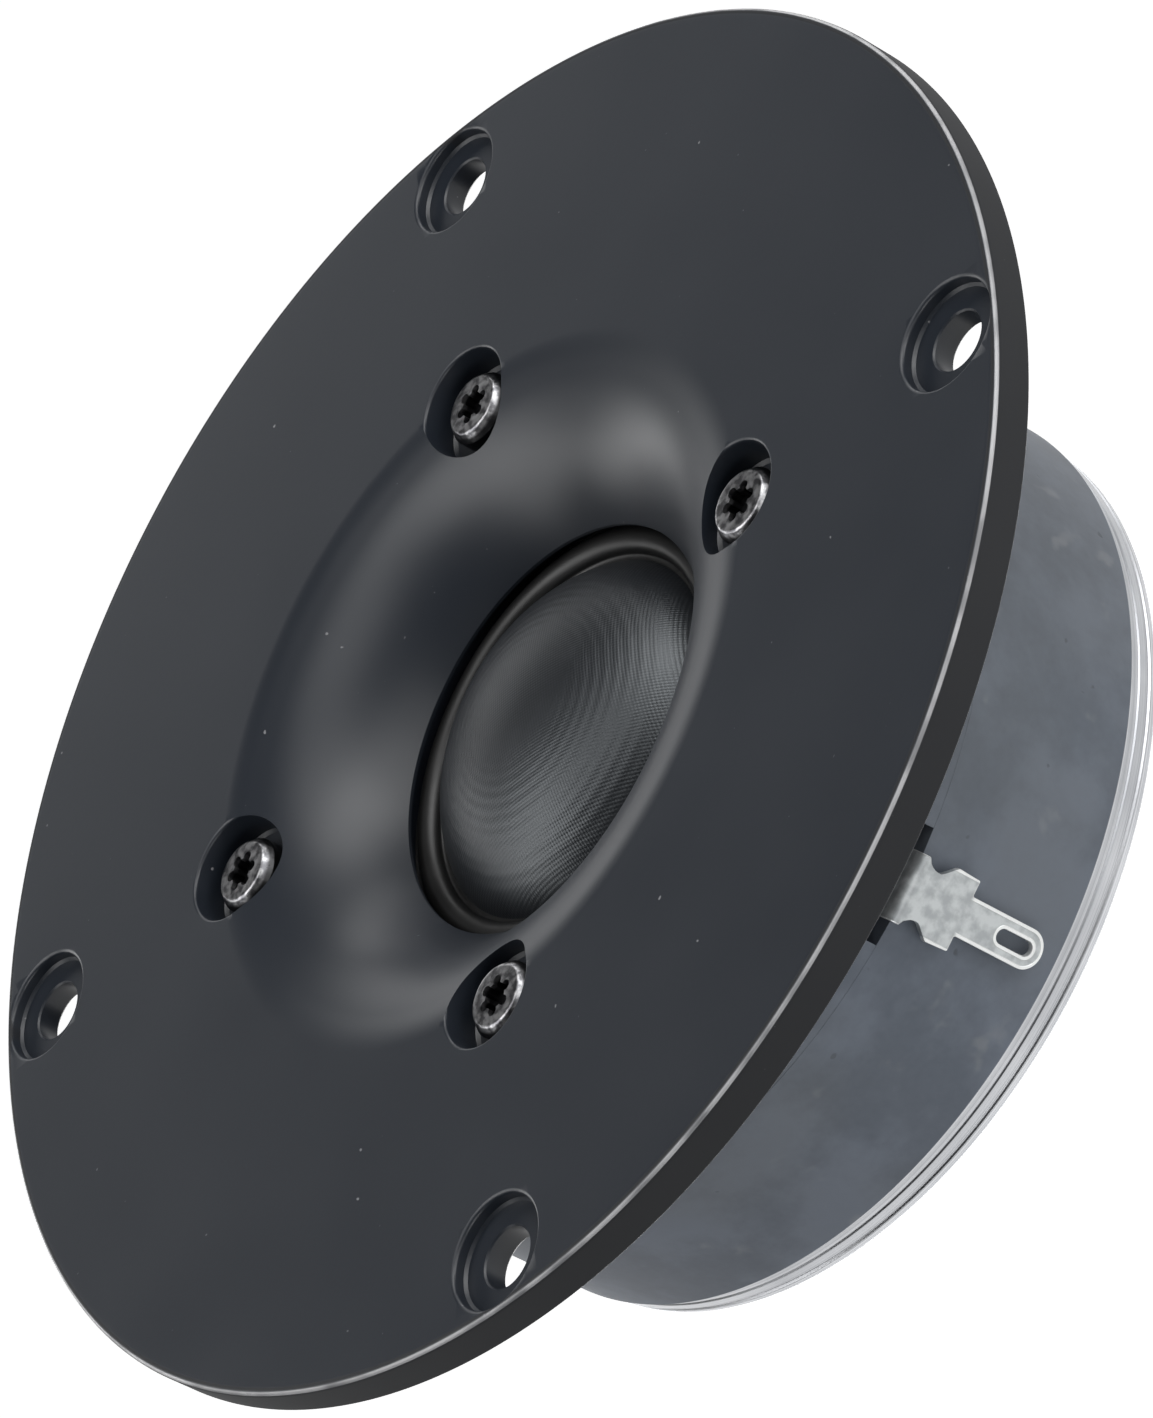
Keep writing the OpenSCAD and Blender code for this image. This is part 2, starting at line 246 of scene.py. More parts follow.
def wave_z(r):
    """Height of the horn at radius r. Its mouth is eased, so that no crease shows there."""
    s = MOUTH_R - r
    ease = min(1, s / MOUTH_EASE)
    return face_z - (WAVE_SLOPE * s + WAVE_BEND * s**2 + WAVE_RISE * s**3) * ease * (2 - ease)


def plate_outline():
    throat_z, rim_z = face_z - THROAT_DEPTH, face_z - RIM_T
    reach = WAVE_REACH - THROAT_LIP
    radii = [THROAT_R + THROAT_LIP + reach * k / WAVE_POINTS for k in range(WAVE_POINTS + 1)]
    wave = [(r, wave_z(r)) for r in radii]
    face = [(FLAT_START, face_z), (FLAT_MIDDLE, face_z), (rim_r - 2 * RIM_EDGE, face_z)]
    rim = [(rim_r, face_z, RIM_EDGE), (rim_r, rim_z, 0.2), (BOSS_R, rim_z, 0.3), (BOSS_R, boss_z, 0.3)]
    cavity = [(CAVITY_R, boss_z, 0.1), (CAVITY_R, throat_z + 0.3, 0.4), (THROAT_R + 0.5, throat_z + 0.3),
              (THROAT_R, throat_z - 0.25), (THROAT_R, throat_z)]
    return rounded(wave + face + rim + cavity)


faceplate = solid("faceplate_casting", lathe(plate_outline(), steps=320))
print("turned plate:", len(faceplate.data.polygons), "faces")

# %% [markdown]
# ## Holes in the faceplate
#
# Four outer holes take the screws that hold the tweeter in its cabinet, and each has a counterbore that
# hides the screw's head. Four inner pockets sit on the edge of the horn, so the horn's slope cuts into
# their inner sides. Each cutter is itself a turned shape, with a flare at its top that leaves a rounded
# lip on the hole.

# %% Drill the faceplate
MOUNT_PCR, MOUNT_R, MOUNT_BORE_R, MOUNT_DEPTH = 47.35, 2.2, 4.12, 1.1
SCREW_PCR, POCKET_R, SCREW_HOLE_R = 26.2, 4.1, 1.7
LIP_SWING, CLEAR = 1.35, 2
SCREW_SEAT = head_top - 2.1
CORNERS = [radians(a) for a in (45, 135, 225, 315)]


def flare(bore_r, lip=0.32, steps=5):
    """The top of a cutter: up the wall of the bore, then outwards round the lip and clear of the face."""
    swings = [k / steps * LIP_SWING for k in range(steps + 1)]
    arc = [(bore_r + lip * (1 - cos(a)), face_z - lip + lip * sin(a)) for a in swings]
    wide = arc[-1][0] + 0.3
    return arc + [(wide, face_z + 0.1), (wide, face_z + CLEAR), (0, face_z + CLEAR)]


def drills():
    seat, rim_z = face_z - MOUNT_DEPTH, face_z - RIM_T
    mount = [(0, rim_z - 1), (MOUNT_R + 0.15, rim_z - 1), (MOUNT_R + 0.15, rim_z),
             (MOUNT_R, rim_z + 0.15), (MOUNT_R, seat - 0.12), (MOUNT_R + 0.12, seat),
             (MOUNT_BORE_R - 0.2, seat), (MOUNT_BORE_R, seat + 0.2)] + flare(MOUNT_BORE_R)
    pocket = [(0, boss_z - 1), (SCREW_HOLE_R, boss_z - 1), (SCREW_HOLE_R, SCREW_SEAT),
              (POCKET_R - 0.25, SCREW_SEAT), (POCKET_R, SCREW_SEAT + 0.25)] + flare(POCKET_R, lip=0.25)
    bm = bmesh.new()
    for a in CORNERS:
        for outline, radius in ((mount, MOUNT_PCR), (pocket, SCREW_PCR)):
            join(bm, lathe(outline, steps=72, centre=(radius * cos(a), radius * sin(a))))
    return bm


cut(faceplate, drills())
piece("faceplate_casting", faceplate, "faceplate")

# %% [markdown]
# ## The screws
#
# The horn is held to the motor by four M3 screws with six-lobe drives. The head is a low dome with a flat
# land, and the drive is six round lobes pressed into it. The head is turned on the lathe, then the drive
# is cut with six small cylinders and a core. The one screw is copied to its four places, each turned a
# little, as a hand leaves them.

# %% Make the four screws
HEAD_R, SHANK_R, DRIVE_R, LOBE_R, LOBES, DRIVE_DEPTH = 2.85, 1.5, 1.32, 0.4, 6, 1.2
CORE_R, LAND_R = DRIVE_R - 0.32, HEAD_R - 0.55


def cylinder(radius, low, high, x=0, y=0, sides=32):
    """An upright cylinder between two heights."""
    bm = bmesh.new()
    bmesh.ops.create_cone(bm, cap_ends=True, segments=sides, radius1=radius, radius2=radius,
                          depth=high - low)
    bmesh.ops.translate(bm, verts=bm.verts, vec=(x, y, (low + high) / 2))
    return bm


def screw():
    tip = low_high("faceplate_screws")[0].z
    shank = [(0, tip), (SHANK_R - 0.3, tip), (SHANK_R, tip + 0.3), (SHANK_R, SCREW_SEAT, 0.1)]
    head = [(HEAD_R, SCREW_SEAT, 0.12), (HEAD_R, head_top - 0.75, 0.2), (LAND_R, head_top, 0.35),
            (0, head_top)]
    obj = solid("screw", lathe(rounded(shank + head), steps=96))
    low, high, reach = head_top - DRIVE_DEPTH, head_top + 1, DRIVE_R - LOBE_R / 2
    drive = cylinder(CORE_R, low, high)
    for k in range(LOBES):
        a = k * 2 * pi / LOBES
        join(drive, cylinder(LOBE_R, low, high, reach * cos(a), reach * sin(a), sides=24))
    return cut(obj, drive, overlapping=True)


def four_screws():
    one = screw()
    bm = bmesh.new()
    for a, turned in zip(CORNERS, (0.35, 0.1, 0.5, 0.2)):
        copy = bmesh.new()
        copy.from_mesh(one.data)
        bmesh.ops.scale(copy, vec=(1 / MM, 1 / MM, 1 / MM), verts=copy.verts)
        bmesh.ops.rotate(copy, cent=(0, 0, 0), matrix=Matrix.Rotation(turned, 3, "Z"), verts=copy.verts)
        bmesh.ops.translate(copy, vec=(SCREW_PCR * cos(a), SCREW_PCR * sin(a), 0), verts=copy.verts)
        join(bm, copy)
    bpy.data.objects.remove(one)
    return bm


piece("screws", four_screws(), "faceplate_screws")

# %% [markdown]
# ## The dome
#
# The dome is silk, pressed warm in a mould and coated so that it holds its shape and seals. Its outline
# is part of a flattened ellipse: a wide crown that steepens towards the coil. A thin shell is all that it
# is, so the lathe spins an outer skin and an inner skin that meet at the foot.

# %% Press the dome
FOOT_Z = plate_top + 1.9
DOME_FULL, SILK_T, GLUE_W, FOOT_DROP = 1.06, 0.2, 0.8, 0.25


def dome_curve(r):
    """The flattened ellipse, 1 at the crown."""
    return sqrt(1 - (r / (DOME_FULL * dome_r)) ** 2)


def dome_surface(r):
    """Height of the dome at radius r, from the foot to the crown."""
    edge = dome_curve(dome_r)
    return FOOT_Z + (dome_top - FOOT_Z) * (dome_curve(r) - edge) / (1 - edge)


def dome_outline():
    foot_in, low = dome_r - GLUE_W, FOOT_Z - FOOT_DROP
    outer_radii = [dome_r * sin(k / 56 * pi / 2) for k in range(57)]
    inner_radii = [foot_in * cos(k / 28 * pi / 2) for k in range(29)]
    outside = [(r, dome_surface(r)) for r in outer_radii]
    inside = [(r, dome_surface(r) - SILK_T) for r in inner_radii]
    return outside + [(dome_r, low), (foot_in, low)] + inside


dome = piece("dome_cap", lathe(dome_outline()), "dome", body="diaphragm", angle=50)

# %% [markdown]
# ## The surround
#
# The surround is the soft half roll that lets the dome move and keeps it centred. Its inner foot is glued
# to the dome and its outer foot is clamped under the faceplate. When the dome moves, the roll has to
# stretch between the two. Here the piece is made in its rest place and attached to no body.

# %% Roll the surround
ROLL_IN, ROLL_OUT, FLANGE_R, ROLL_RISE = 14.0, 16.7, 19.4, 1.4
FLANGE_TOP = low_high("surround")[0].z + SILK_T


def surround_outline(steps=32):
    middle, reach = (ROLL_IN + ROLL_OUT) / 2, (ROLL_OUT - ROLL_IN) / 2
    top = [(dome_r, FOOT_Z), (ROLL_IN - 0.25, FOOT_Z), (ROLL_IN - 0.1, FOOT_Z + 0.05)]
    for k in range(1, steps):
        u = -cos(pi * k / steps)
        line = FOOT_Z + (FLANGE_TOP - FOOT_Z) * (u + 1) / 2
        top.append((middle + reach * u, line + ROLL_RISE * sqrt(1 - u * u)))
    top += [(ROLL_OUT + 0.1, FLANGE_TOP + 0.05), (ROLL_OUT + 0.3, FLANGE_TOP), (FLANGE_R, FLANGE_TOP)]
    under = [(r, z - SILK_T) for r, z in reversed(top)]
    return top + under


roll = lathe(surround_outline())
surround = piece("surround_roll", roll, "surround", body=None, angle=60)
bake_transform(surround)

# %% [markdown]
# ## The motor
#
# Behind the flange the motor is a sandwich: a steel top plate, a ring of pressed and fired ferrite, and a
# plated steel back plate. Ferrite is brittle, so its free corner is rounded a little. The back plate is
# turned, with two fine grooves round its edge, which catch the light as bright lines.

# %% Turn the motor's rings
def motor_ring(outer, inner, low, high, low_edge, high_edge):
    """A flat ring with its two outer edges rounded."""
    return lathe(rounded([(inner, low), (outer, low, low_edge), (outer, high, high_edge), (inner, high)]))


BORE_R, GAP_R, SLOT_W, SLOT_FLOOR, SPIGOT_R = 17.0, 14.05, 8.7, 29.0, 6.0
JOINT_EDGE, MAGNET_EDGE, PLATE_EDGE = 0.04, 0.25, 0.15
BACK_EDGE, BACK_FLAT_R = 0.75, 26.0


def box(low, high):
    """A block between two corners."""
    bm = bmesh.new()
    bmesh.ops.create_cube(bm, size=1)
    bmesh.ops.scale(bm, vec=Vector(high) - Vector(low), verts=bm.verts)
    bmesh.ops.translate(bm, vec=(Vector(high) + Vector(low)) / 2, verts=bm.verts)
    return bm


def slots():
    bm = bmesh.new()
    for side in (-1, 1):
        ends = sorted((side * SLOT_FLOOR, side * (magnet_r + 1)))
        join(bm, box((-SLOT_W / 2, ends[0], magnet_top - 1), (SLOT_W / 2, ends[1], plate_top + 1)))
    return bm


magnet = motor_ring(magnet_r, BORE_R, magnet_low, magnet_top, MAGNET_EDGE, JOINT_EDGE)
piece("ferrite_ring", magnet, "magnet")
plate = solid("front_plate", motor_ring(magnet_r, GAP_R, magnet_top, plate_top, JOINT_EDGE, PLATE_EDGE))
piece("front_plate", cut(plate, slots()), "top_plate")


def groove(low, high, depth):
    """A shallow turned groove in the back plate's edge."""
    return [(back_r, low), (back_r - depth, low + 0.1), (back_r - depth, high - 0.1), (back_r, high)]


def back_outline():
    edge = [(back_r, 0, BACK_EDGE)] + groove(0.95, 1.3, 0.12) + groove(1.95, 2.25, 0.1)
    rear = [(SPIGOT_R, 0.0, 0.1), (BACK_FLAT_R, 0.0)]
    return rounded(rear + edge + [(back_r, magnet_low, 0.2), (SPIGOT_R, magnet_low)])


piece("rear_plate", lathe(back_outline(), steps=320), "back_plate")

# %% [markdown]
# ## The carrier's tongues
#
# The terminals are held by a moulded black ring between the faceplate and the motor. Two tongues of it
# fill the slots in the top plate, and only those show from outside. The ring is turned, and the tongues
# are blocks with bevelled edges. Each terminal's leg runs in through its tongue.

# %% Mould the carrier
TONGUE_R, CARRIER_IN, SLACK = 33.0, 17.3, 0.15


def tongue(side):
    ends = sorted((side * (SLOT_FLOOR + SLACK), side * TONGUE_R))
    half = SLOT_W / 2 - SLACK
    bm = box((-half, ends[0], magnet_top + SLACK), (half, ends[1], plate_top))
    bmesh.ops.bevel(bm, geom=bm.edges[:], offset=0.2, segments=3, affect="EDGES", profile=0.5,
                    material=-1)
    return bm


carrier_high = low_high("terminal_carrier")[1].z
ledge_z = FLANGE_TOP - SILK_T
carrier = lathe(rounded([(CARRIER_IN, plate_top), (carrier_r, plate_top, 0.2), (carrier_r, carrier_high, 0.2),
                         (FLANGE_R, carrier_high), (FLANGE_R, ledge_z), (CARRIER_IN, ledge_z)]))
for side in (-1, 1):
    join(carrier, tongue(side))
piece("carrier_ring", carrier, "terminal_carrier")

# %% [markdown]
# ## The terminals
#
# Each terminal is stamped from tinned sheet: shoulders that a push-on connector stops against, a
# round-ended arm with an eye for a soldered wire, and a waist that bends over the edge of the slot. The
# blank is laid out flat, hung beside the magnet and given its thickness; spinning its top edge makes the
# bend, just as a press brake would.

# %% Stamp the terminals
SHEET_T, BEND_R, LEG_LENGTH, EYE_LENGTH, PUNCH = 0.5, 0.8, 4.5, 4.1, 2
TAB_BACK = magnet_r + 0.6
LEG_Z = magnet_top + 0.4
TIP_Z = low_high("terminal_minus")[0].z
TAB_W, ROOT_W, WAIST_W, SHOULDER_W, EYE_W, TAB_EDGE = 2.9, 5.0, 3.6, 5.4, 1.1, 0.06
EYE_LOW = TIP_Z + TAB_W / 2
EYE_HIGH = TIP_Z + EYE_LENGTH - EYE_W / 2


def tab_half():
    """Right-hand side of the blank as (x, z), from the bend down to the tip."""
    bend_z = LEG_Z + SHEET_T - BEND_R
    waist_z, ramp_z = magnet_top - 0.9, magnet_top - 1.4
    root, waist, wide, narrow = ROOT_W / 2, WAIST_W / 2, SHOULDER_W / 2, TAB_W / 2
    neck = [(waist + (root - waist) * (1 - t) ** 2, bend_z + (waist_z - bend_z) * t)
            for t in (0, 0.15, 0.3, 0.5, 0.75, 1)]
    shoulder = [(waist, ramp_z + 0.15), (waist + 0.1, ramp_z - 0.05), (wide - 0.08, ramp_z - 0.93),
                (wide, ramp_z - 1.1), (wide - 0.1, ramp_z - 2.95), (wide - 0.18, ramp_z - 3.0),
                (narrow + 0.1, ramp_z - 3.0), (narrow, ramp_z - 3.1)]
    swings = [k / 12 * pi / 2 for k in range(13)]
    arm = [(narrow * cos(a), EYE_LOW - narrow * sin(a)) for a in swings]
    return neck + shoulder + arm


def grow(bm, faces, by):
    """Extrudes faces by a vector and returns the new faces."""
    grown = bmesh.ops.extrude_face_region(bm, geom=faces)["geom"]
    verts = [v for v in grown if isinstance(v, bmesh.types.BMVert)]
    bmesh.ops.translate(bm, vec=by, verts=verts)
    return [f for f in grown if isinstance(f, bmesh.types.BMFace)]


def bent_blank():
    """The stamped blank with its top edge bent over and run out as a leg."""
    right = tab_half()
    outline = right + [(-x, z) for x, z in reversed(right[:-1])]
    bm = bmesh.new()
    blank = bm.faces.new([bm.verts.new((x, -TAB_BACK - SHEET_T, z)) for x, z in outline])
    grow(bm, [blank], (0, SHEET_T, 0))
    bmesh.ops.recalc_face_normals(bm, faces=bm.faces)
    top = max(bm.faces, key=lambda f: f.calc_center_median().z)
    pivot = (0, -TAB_BACK - SHEET_T + BEND_R, LEG_Z + SHEET_T - BEND_R)
    spun = bmesh.ops.spin(bm, geom=[top], cent=pivot, axis=(1, 0, 0), angle=-pi / 2, steps=8)["geom_last"]
    bmesh.ops.delete(bm, geom=[top], context="FACES_ONLY")
    end = [f for f in spun if isinstance(f, bmesh.types.BMFace)]
    grow(bm, end, (0, LEG_LENGTH, 0))
    bmesh.ops.delete(bm, geom=end, context="FACES_ONLY")
    bmesh.ops.remove_doubles(bm, verts=bm.verts, dist=MERGE)
    bmesh.ops.recalc_face_normals(bm, faces=bm.faces)
    return bm


def punch_eye(obj):
    """Cuts the eye as two round ends and the block between them."""
    for z in (EYE_LOW, EYE_HIGH):
        hole = cylinder(EYE_W / 2, -PUNCH, PUNCH, sides=40)
        bmesh.ops.rotate(hole, cent=(0, 0, 0), matrix=Matrix.Rotation(pi / 2, 3, "X"), verts=hole.verts)
        bmesh.ops.translate(hole, vec=(0, -TAB_BACK, z), verts=hole.verts)
        cut(obj, hole)
    cut(obj, box((-EYE_W / 2, -TAB_BACK - PUNCH, EYE_LOW), (EYE_W / 2, -TAB_BACK + PUNCH, EYE_HIGH)))


def terminal(name, replaced, turned):
    obj = solid(name, bent_blank())
    punch_eye(obj)
    obj.data.transform(Matrix.Rotation(turned, 4, "Z"))
    bevel = obj.modifiers.new("edges", "BEVEL")
    bevel.width = TAB_EDGE * MM
    bevel.segments = 2
    bevel.limit_method = "ANGLE"
    bevel.angle_limit = radians(50)
    bpy.context.view_layer.update()
    return piece(name, finished(obj), replaced, angle=40)


terminals = [terminal("tab_minus", "terminal_minus", 0), terminal("tab_plus", "terminal_plus", pi)]

# %% [markdown]
# ## The lead loops
#
# Two slack loops of stranded wire carry the current from the fixed tabs to the moving coil. Each crosses
# the gap in a low arch that climbs towards the coil, so that it flexes instead of pulling. A small circle
# is carried step by step along the arch, and the tube that it leaves is kept in its rest place, attached
# to no body.

# %% Arch the loops
WIRE_R, LOOP_IN, LOOP_OUT, LOOP_ARCH, LOOP_LIFT = 0.22, 13.75, 17.3, 0.15, 0.35
wire_z = low_high("lead_wires")[0].z + WIRE_R


def loop_height(t):
    """Height above the fixed wire, from the coil's end at 0 to the ring's end at 1."""
    return LOOP_LIFT * (1 - t) + 4 * LOOP_ARCH * t * (1 - t)


def lead_loop(side):
    """A tube along an arch, made by carrying a small circle step by step along it."""
    steps, sides = 20, 12
    bm = bmesh.new()
    ring = bmesh.ops.create_circle(bm, segments=sides, radius=WIRE_R, cap_ends=True)["verts"]
    bmesh.ops.rotate(bm, cent=(0, 0, 0), matrix=Matrix.Rotation(pi / 2, 3, "X"), verts=ring)
    bmesh.ops.translate(bm, vec=(0, side * LOOP_IN, wire_z + loop_height(0)), verts=ring)
    face = bm.faces[:]
    for k in range(1, steps + 1):
        rise = loop_height(k / steps) - loop_height((k - 1) / steps)
        grown = grow(bm, face, (0, side * (LOOP_OUT - LOOP_IN) / steps, rise))
        if k > 1:
            bmesh.ops.delete(bm, geom=face, context="FACES_ONLY")
        face = grown
    bmesh.ops.remove_doubles(bm, verts=bm.verts, dist=MERGE)
    bmesh.ops.recalc_face_normals(bm, faces=bm.faces)
    return bm


loops = []
for side, name in ((-1, "lead_loop_minus"), (1, "lead_loop_plus")):
    loop = piece(name, lead_loop(side), "lead_loops", body=None, angle=60)
    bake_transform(loop)
    loops.append(loop)

# %% [markdown]
# ## Writing materials as expressions
#
# A material is a small program on the surface. Wrapping a socket in a class that knows how to add and
# multiply keeps that program readable: an expression on values becomes Math nodes, and one method makes
# any other node.

# %% The material helper
class Value:
    """A shader socket that takes part in Python arithmetic."""

    def __init__(self, sheet, socket):
        self.sheet, self.socket = sheet, socket

    def math(self, operation, *others):
        return self.sheet.node("ShaderNodeMath", {"operation": operation}, [self, *others])

    def __add__(self, other):
        return self.math("ADD", other)

    def __mul__(self, other):
        return self.math("MULTIPLY", other)

    def __sub__(self, other):
        return self.math("SUBTRACT", other)

    def __rsub__(self, other):
        return self.sheet.node("ShaderNodeMath", {"operation": "SUBTRACT"}, [other, self])

    __radd__ = __add__
    __rmul__ = __mul__


class Sheet:
    def __init__(self, name):
        self.material = bpy.data.materials.new(name)
        self.material.use_nodes = True
        self.tree = self.material.node_tree
        self.shader = self.tree.nodes["Principled BSDF"]
        self.place = self.node("ShaderNodeTexCoord", {}, [], "Object")

    def node(self, kind, settings, inputs, output=0):
        made = self.tree.nodes.new(kind)
        for key, value in settings.items():
            setattr(made, key, value)
        pairs = inputs.items() if isinstance(inputs, dict) else enumerate(inputs)
        for key, value in pairs:
            if isinstance(value, Value):
                self.tree.links.new(value.socket, made.inputs[key])
            else:
                made.inputs[key].default_value = value
        return Value(self, made.outputs[output])

    def noise(self, scale, detail=3.0, roughness=0.5):
        inputs = {"Vector": self.place, "Scale": scale, "Detail": detail, "Roughness": roughness}
        return self.node("ShaderNodeTexNoise", {}, inputs)

    def ramp(self, value, low, high):
        """0 below low and 1 above high."""
        return self.node("ShaderNodeMapRange", {"clamp": True, "interpolation_type": "SMOOTHSTEP"},
                         {"Value": value, "From Min": low, "From Max": high})

    def mix(self, share, first, second):
        """A colour that goes from first to second."""
        return self.node("ShaderNodeMix", {"data_type": "RGBA"}, {0: share, 6: first, 7: second}, 2)

    def axes(self):
        """The three coordinates of a point, in metres."""
        return [self.node("ShaderNodeSeparateXYZ", {}, [self.place], axis) for axis in range(3)]

    def radius(self):
        x, y, _ = self.axes()
        return (x * x + y * y).math("SQRT")

    def bump(self, height, distance, strength):
        inputs = {"Height": height, "Distance": distance, "Strength": strength}
        return self.node("ShaderNodeBump", {}, inputs)

    def finish(self, **inputs):
        for name, value in inputs.items():
            socket = self.shader.inputs[name.replace("_", " ")]
            if isinstance(value, Value):
                self.tree.links.new(value.socket, socket)
            else:
                socket.default_value = value
        return self.material


def rgb(red, green, blue):
    return (red, green, blue, 1.0)


def paint(objects, material):
    """Gives one material to every face of some objects or CAD nodes."""
    for obj in objects:
        obj = nodes[obj] if isinstance(obj, str) else obj
        obj.data.materials.clear()
        obj.data.materials.append(material)
        obj.data.polygons.foreach_set("material_index", [0] * len(obj.data.polygons))


# %% [markdown]
# ## Satin black
#
# The faceplate is powder coated. Powder flows into a fine orange peel as it cures, which spreads
# reflections into soft gradients, and dust leaves a few pale specks. The turned side of the rim is duller
# than the face, and its colour is also painted near black, a painted shade that keeps it dark under the
# lamps that light the motor. The corner between face and side carries a painted highlight: a thin pale
# line, made uneven by noise, with a painted dark line of shade beside it. All of them are told apart by
# their distance from the axis.

# %% Finish the faceplate
def satin_black():
    s = Sheet("satin_black")
    r = s.radius()
    peel = s.noise(2600, detail=2)
    cloud = s.noise(90, detail=2)
    dust = s.ramp(s.noise(1300, detail=1), 0.79, 0.83)
    # side: the turned side of the rim, made rougher and also painted darker as shade
    side = s.ramp(r, (rim_r - 0.07) * MM, (rim_r - 0.04) * MM)
    # noise that makes the corner's painted highlight uneven
    corner_glint_break = s.ramp(s.noise(240, detail=2), 0.3, 0.6) * 0.6 + 0.4
    # corner: the band of the painted highlight along the rounded front corner
    corner = s.ramp(r, (rim_r - 0.3) * MM, (rim_r - 0.22) * MM) * (1 - side) * corner_glint_break
    inside = 1 - s.ramp(r, (rim_r - 0.36) * MM, (rim_r - 0.3) * MM)
    # shade: a thin band just inside the corner, painted dark as shade
    shade = s.ramp(r, (rim_r - 0.6) * MM, (rim_r - 0.5) * MM) * inside
    colour = s.mix(cloud, rgb(0.0092, 0.0122, 0.0178), rgb(0.0116, 0.0148, 0.0208))
    # painted shade: the rim's side and the band beside the corner are darkened to near black
    colour = s.mix(side.math("MAXIMUM", shade), colour, rgb(0.002, 0.003, 0.005))
    # painted highlight: the corner band is painted pale grey
    colour = s.mix(corner * 0.9, colour, rgb(0.38, 0.38, 0.39))
    colour = s.mix(dust * 0.7, colour, rgb(0.25, 0.25, 0.26))
    roughness = 0.34 + 0.06 * cloud + 0.45 * side + 0.3 * shade - 0.1 * corner
    return s.finish(Base_Color=colour, Roughness=roughness, Normal=s.bump(peel, 0.00001, 0.25))


paint([bpy.data.objects["faceplate_casting"]], satin_black())
print("finished the faceplate")

# %% [markdown]
# ## Coated silk
#
# Under its coating the dome still shows its weave, and the mould that pressed it leaves fine rings, like
# the grooves of a record. The rings are a sine of the distance from the axis, strongest between the crown
# and the shoulder. The weave is the product of two sines, one along each thread.

# %% Finish the dome and the surround
RING_PITCH, THREAD_PITCH = 0.0008, 0.00032


def coated_silk():
    s = Sheet("coated_silk")
    r = s.radius()
    x, y, _ = s.axes()
    rings = (r * (2 * pi / RING_PITCH)).math("SINE")
    band = s.ramp(r, 0.003, 0.0075) * (1 - s.ramp(r, 0.0115, 0.013))
    weave = (x * (2 * pi / THREAD_PITCH)).math("SINE") * (y * (2 * pi / THREAD_PITCH)).math("SINE")
    blotch = s.noise(450, detail=3)
    height = rings * band * 0.27 + weave * 0.32 + blotch * 0.35
    colour = s.mix(blotch, rgb(0.005, 0.006, 0.0075), rgb(0.010, 0.011, 0.0135))
    return s.finish(Base_Color=colour, Roughness=0.33 + 0.08 * blotch + 0.05 * weave,
                    Specular_IOR_Level=0.75, Specular_Tint=rgb(0.90, 0.96, 1.0),
                    Normal=s.bump(height, 0.00004, 0.6))


def glossy_roll():
    s = Sheet("glossy_roll")
    smear = s.noise(300, detail=2)
    return s.finish(Base_Color=s.mix(smear, rgb(0.004, 0.004, 0.004), rgb(0.007, 0.007, 0.007)),
                    Roughness=0.36 + 0.12 * smear, Normal=s.bump(smear, 0.00005, 0.3))


paint([dome], coated_silk())
paint([surround], glossy_roll())
print("finished the dome and the surround")

# %% [markdown]
# ## Ferrite and steel
#
# Fired ferrite is grey with a blue cast, clouded where it was ground and pitted with tiny holes. The top
# plate has the same grey-blue coat. The back plate is zinc-plated steel, bright but not a mirror: turning
# lines run round it, so its bump changes with height and radius only, and a faint stain clouds its gloss.

# %% Finish the motor
def ferrite():
    s = Sheet("ferrite")
    cloud = s.noise(110, detail=5, roughness=0.6)
    grain = s.noise(1400, detail=3)
    pits = s.ramp(s.noise(700, detail=1), 0.76, 0.80)
    chalk = s.ramp(s.noise(260, detail=3), 0.62, 0.74)
    tint = s.ramp(s.noise(45, detail=3), 0.4, 0.6)
    colour = s.mix(s.ramp(cloud, 0.38, 0.62), rgb(0.084, 0.098, 0.122), rgb(0.134, 0.154, 0.188))
    colour = s.mix(tint * 0.3, colour, rgb(0.112, 0.116, 0.112))
    colour = s.mix(grain * 0.3, colour, rgb(0.15, 0.175, 0.215))
    colour = s.mix(chalk * 0.35, colour, rgb(0.24, 0.25, 0.26))
    colour = s.mix(pits * 0.5, colour, rgb(0.05, 0.055, 0.06))
    return s.finish(Base_Color=colour, Roughness=0.5 + 0.12 * cloud, Metallic=0.4,
                    Normal=s.bump(grain * 0.4 - pits, 0.00004, 0.5))


def turned_zinc():
    s = Sheet("turned_zinc")
    _, _, z = s.axes()
    lines = s.node("ShaderNodeTexNoise", {"noise_dimensions": "1D"},
                   {"W": s.radius() + z, "Scale": 6000, "Detail": 2})
    stain = s.noise(90, detail=3)
    worn = lines * 0.6 + stain * 0.4
    colour = s.mix(s.ramp(worn, 0.35, 0.65), rgb(0.60, 0.61, 0.63), rgb(0.36, 0.37, 0.39))
    return s.finish(Base_Color=colour, Metallic=1.0, Roughness=0.24 + 0.08 * stain + 0.08 * lines,
                    Normal=s.bump(lines, 0.00006, 0.6))


paint([bpy.data.objects["ferrite_ring"], bpy.data.objects["front_plate"]], ferrite())
paint([bpy.data.objects["rear_plate"]], turned_zinc())
print("finished the motor")

# %% [markdown]
# ## Small metal and plastic parts
#
# The rest of the finishes are plainer: tinned sheet that is slightly dull, dark chrome on the screws,
# black moulded plastic, copper, film and felt. Each still gets some grain and uneven gloss, because a
# perfectly even surface is what gives a model away.

# %% Finish the rest
def metal(name, dark, light, roughness, scale=600, bump=0.2, metallic=1.0):
    """A grained finish between two colours, with uneven gloss."""
    s = Sheet(name)
    grain = s.noise(scale, detail=4)
    return s.finish(Base_Color=s.mix(s.ramp(grain, 0.35, 0.65), rgb(*dark), rgb(*light)), Metallic=metallic,
                    Roughness=roughness - 0.06 + 0.12 * grain, Normal=s.bump(grain, 0.00003, bump))


def plain(name, dark, light, roughness, scale=900, bump=0.3):
    """The same for anything that isn't metal."""
    return metal(name, dark, light, roughness, scale, bump, metallic=0.0)


